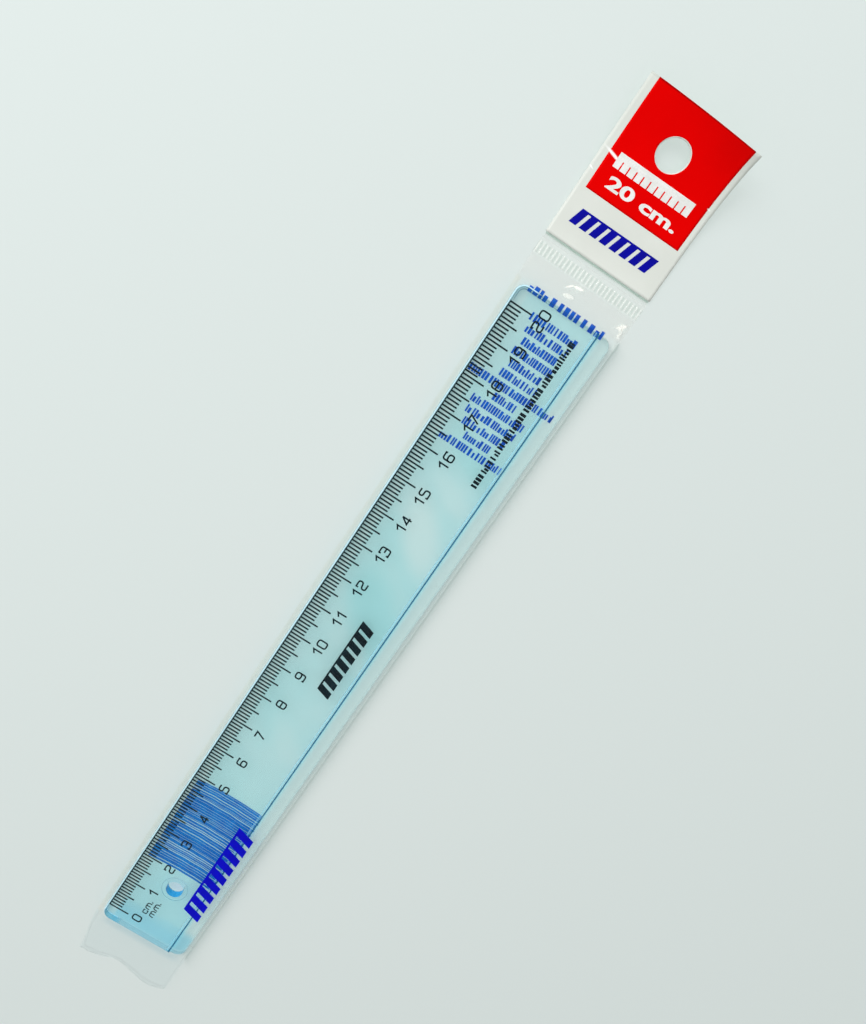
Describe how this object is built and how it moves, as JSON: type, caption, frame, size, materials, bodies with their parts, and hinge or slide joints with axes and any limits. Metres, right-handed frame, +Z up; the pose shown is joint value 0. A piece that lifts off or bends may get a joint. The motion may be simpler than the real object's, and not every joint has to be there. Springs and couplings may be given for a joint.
{
  "type": "plastic ruler",
  "caption": "Clear blue plastic ruler with black graduations, loose in a clear crimped pouch whose folded red and white header has a hang hole.",
  "frame": {"origin": "the middle of the object's bounding box, at the surface it lies on", "axes": "+X along the ruler from 0 to 20 and on to the header, +Y towards the graduated edge, +Z up out of the printed face"},
  "size_m": [0.2778, 0.0294, 0.0116],
  "materials": {
    "clear_blue_plastic": "clear pale blue moulded plastic, polished",
    "black_ink": "black ink printed on plastic",
    "clear_film": "clear glossy film",
    "crimped_film": "two films welded and ribbed",
    "blue_ink": "blue ink printed on film",
    "navy_ink": "navy ink printed on film",
    "white_sheet": "white opaque laminated sheet, glossy",
    "red_ink": "red ink, glossy",
    "white_ink": "white left in the red print"
  },
  "bodies": {
    "pouch": {"pouch_front_film": "clear_film", "pouch_back_film": "clear_film", "side_weld_graduated": "clear_film", "side_weld_plain": "clear_film", "bottom_fold": "clear_film", "crimp_seal": "crimped_film", "back_film_stripes": "blue_ink", "back_film_rules": "blue_ink", "front_film_bars": "navy_ink"},
    "ruler": {"ruler_body": "clear_blue_plastic", "graduation_ticks": "black_ink", "numeral_0": "black_ink", "numeral_1": "black_ink", "numeral_2": "black_ink", "numeral_3": "black_ink", "numeral_4": "black_ink", "numeral_5": "black_ink", "numeral_6": "black_ink", "numeral_7": "black_ink", "numeral_8": "black_ink", "numeral_9": "black_ink", "numeral_10_tens": "black_ink", "numeral_10_units": "black_ink", "numeral_11_tens": "black_ink", "numeral_11_units": "black_ink", "numeral_12_tens": "black_ink", "numeral_12_units": "black_ink", "numeral_13_tens": "black_ink", "numeral_13_units": "black_ink", "numeral_14_tens": "black_ink", "numeral_14_units": "black_ink", "numeral_15_tens": "black_ink", "numeral_15_units": "black_ink", "numeral_16_tens": "black_ink", "numeral_16_units": "black_ink", "numeral_17_tens": "black_ink", "numeral_17_units": "black_ink", "numeral_18_tens": "black_ink", "numeral_18_units": "black_ink", "numeral_19_tens": "black_ink", "numeral_19_units": "black_ink", "numeral_20_tens": "black_ink", "numeral_20_units": "black_ink", "unit_cm_c": "black_ink", "unit_cm_m": "black_ink", "unit_mm_first": "black_ink", "unit_mm_second": "black_ink", "face_bars": "black_ink", "face_scale_bar": "black_ink"},
    "header": {"header_card": "white_sheet", "header_film_tail": "clear_film", "header_red_panel": "red_ink", "header_bars": "navy_ink", "header_ruler_sign": "white_ink", "header_size_2": "white_ink", "header_size_0": "white_ink", "header_size_c": "white_ink", "header_size_m": "white_ink"}
  },
  "joints": [
    {"name": "ruler_slide", "type": "slide", "parent": "pouch", "child": "ruler", "axis": [1, 0, 0], "range_m": [-0.008, 0.0045]},
    {"name": "header_fold", "type": "hinge", "parent": "pouch", "child": "header", "pos_m": [0.09814, 0, 0.0002], "axis": [0, -1, 0], "range_deg": [0, 120]}
  ]
}
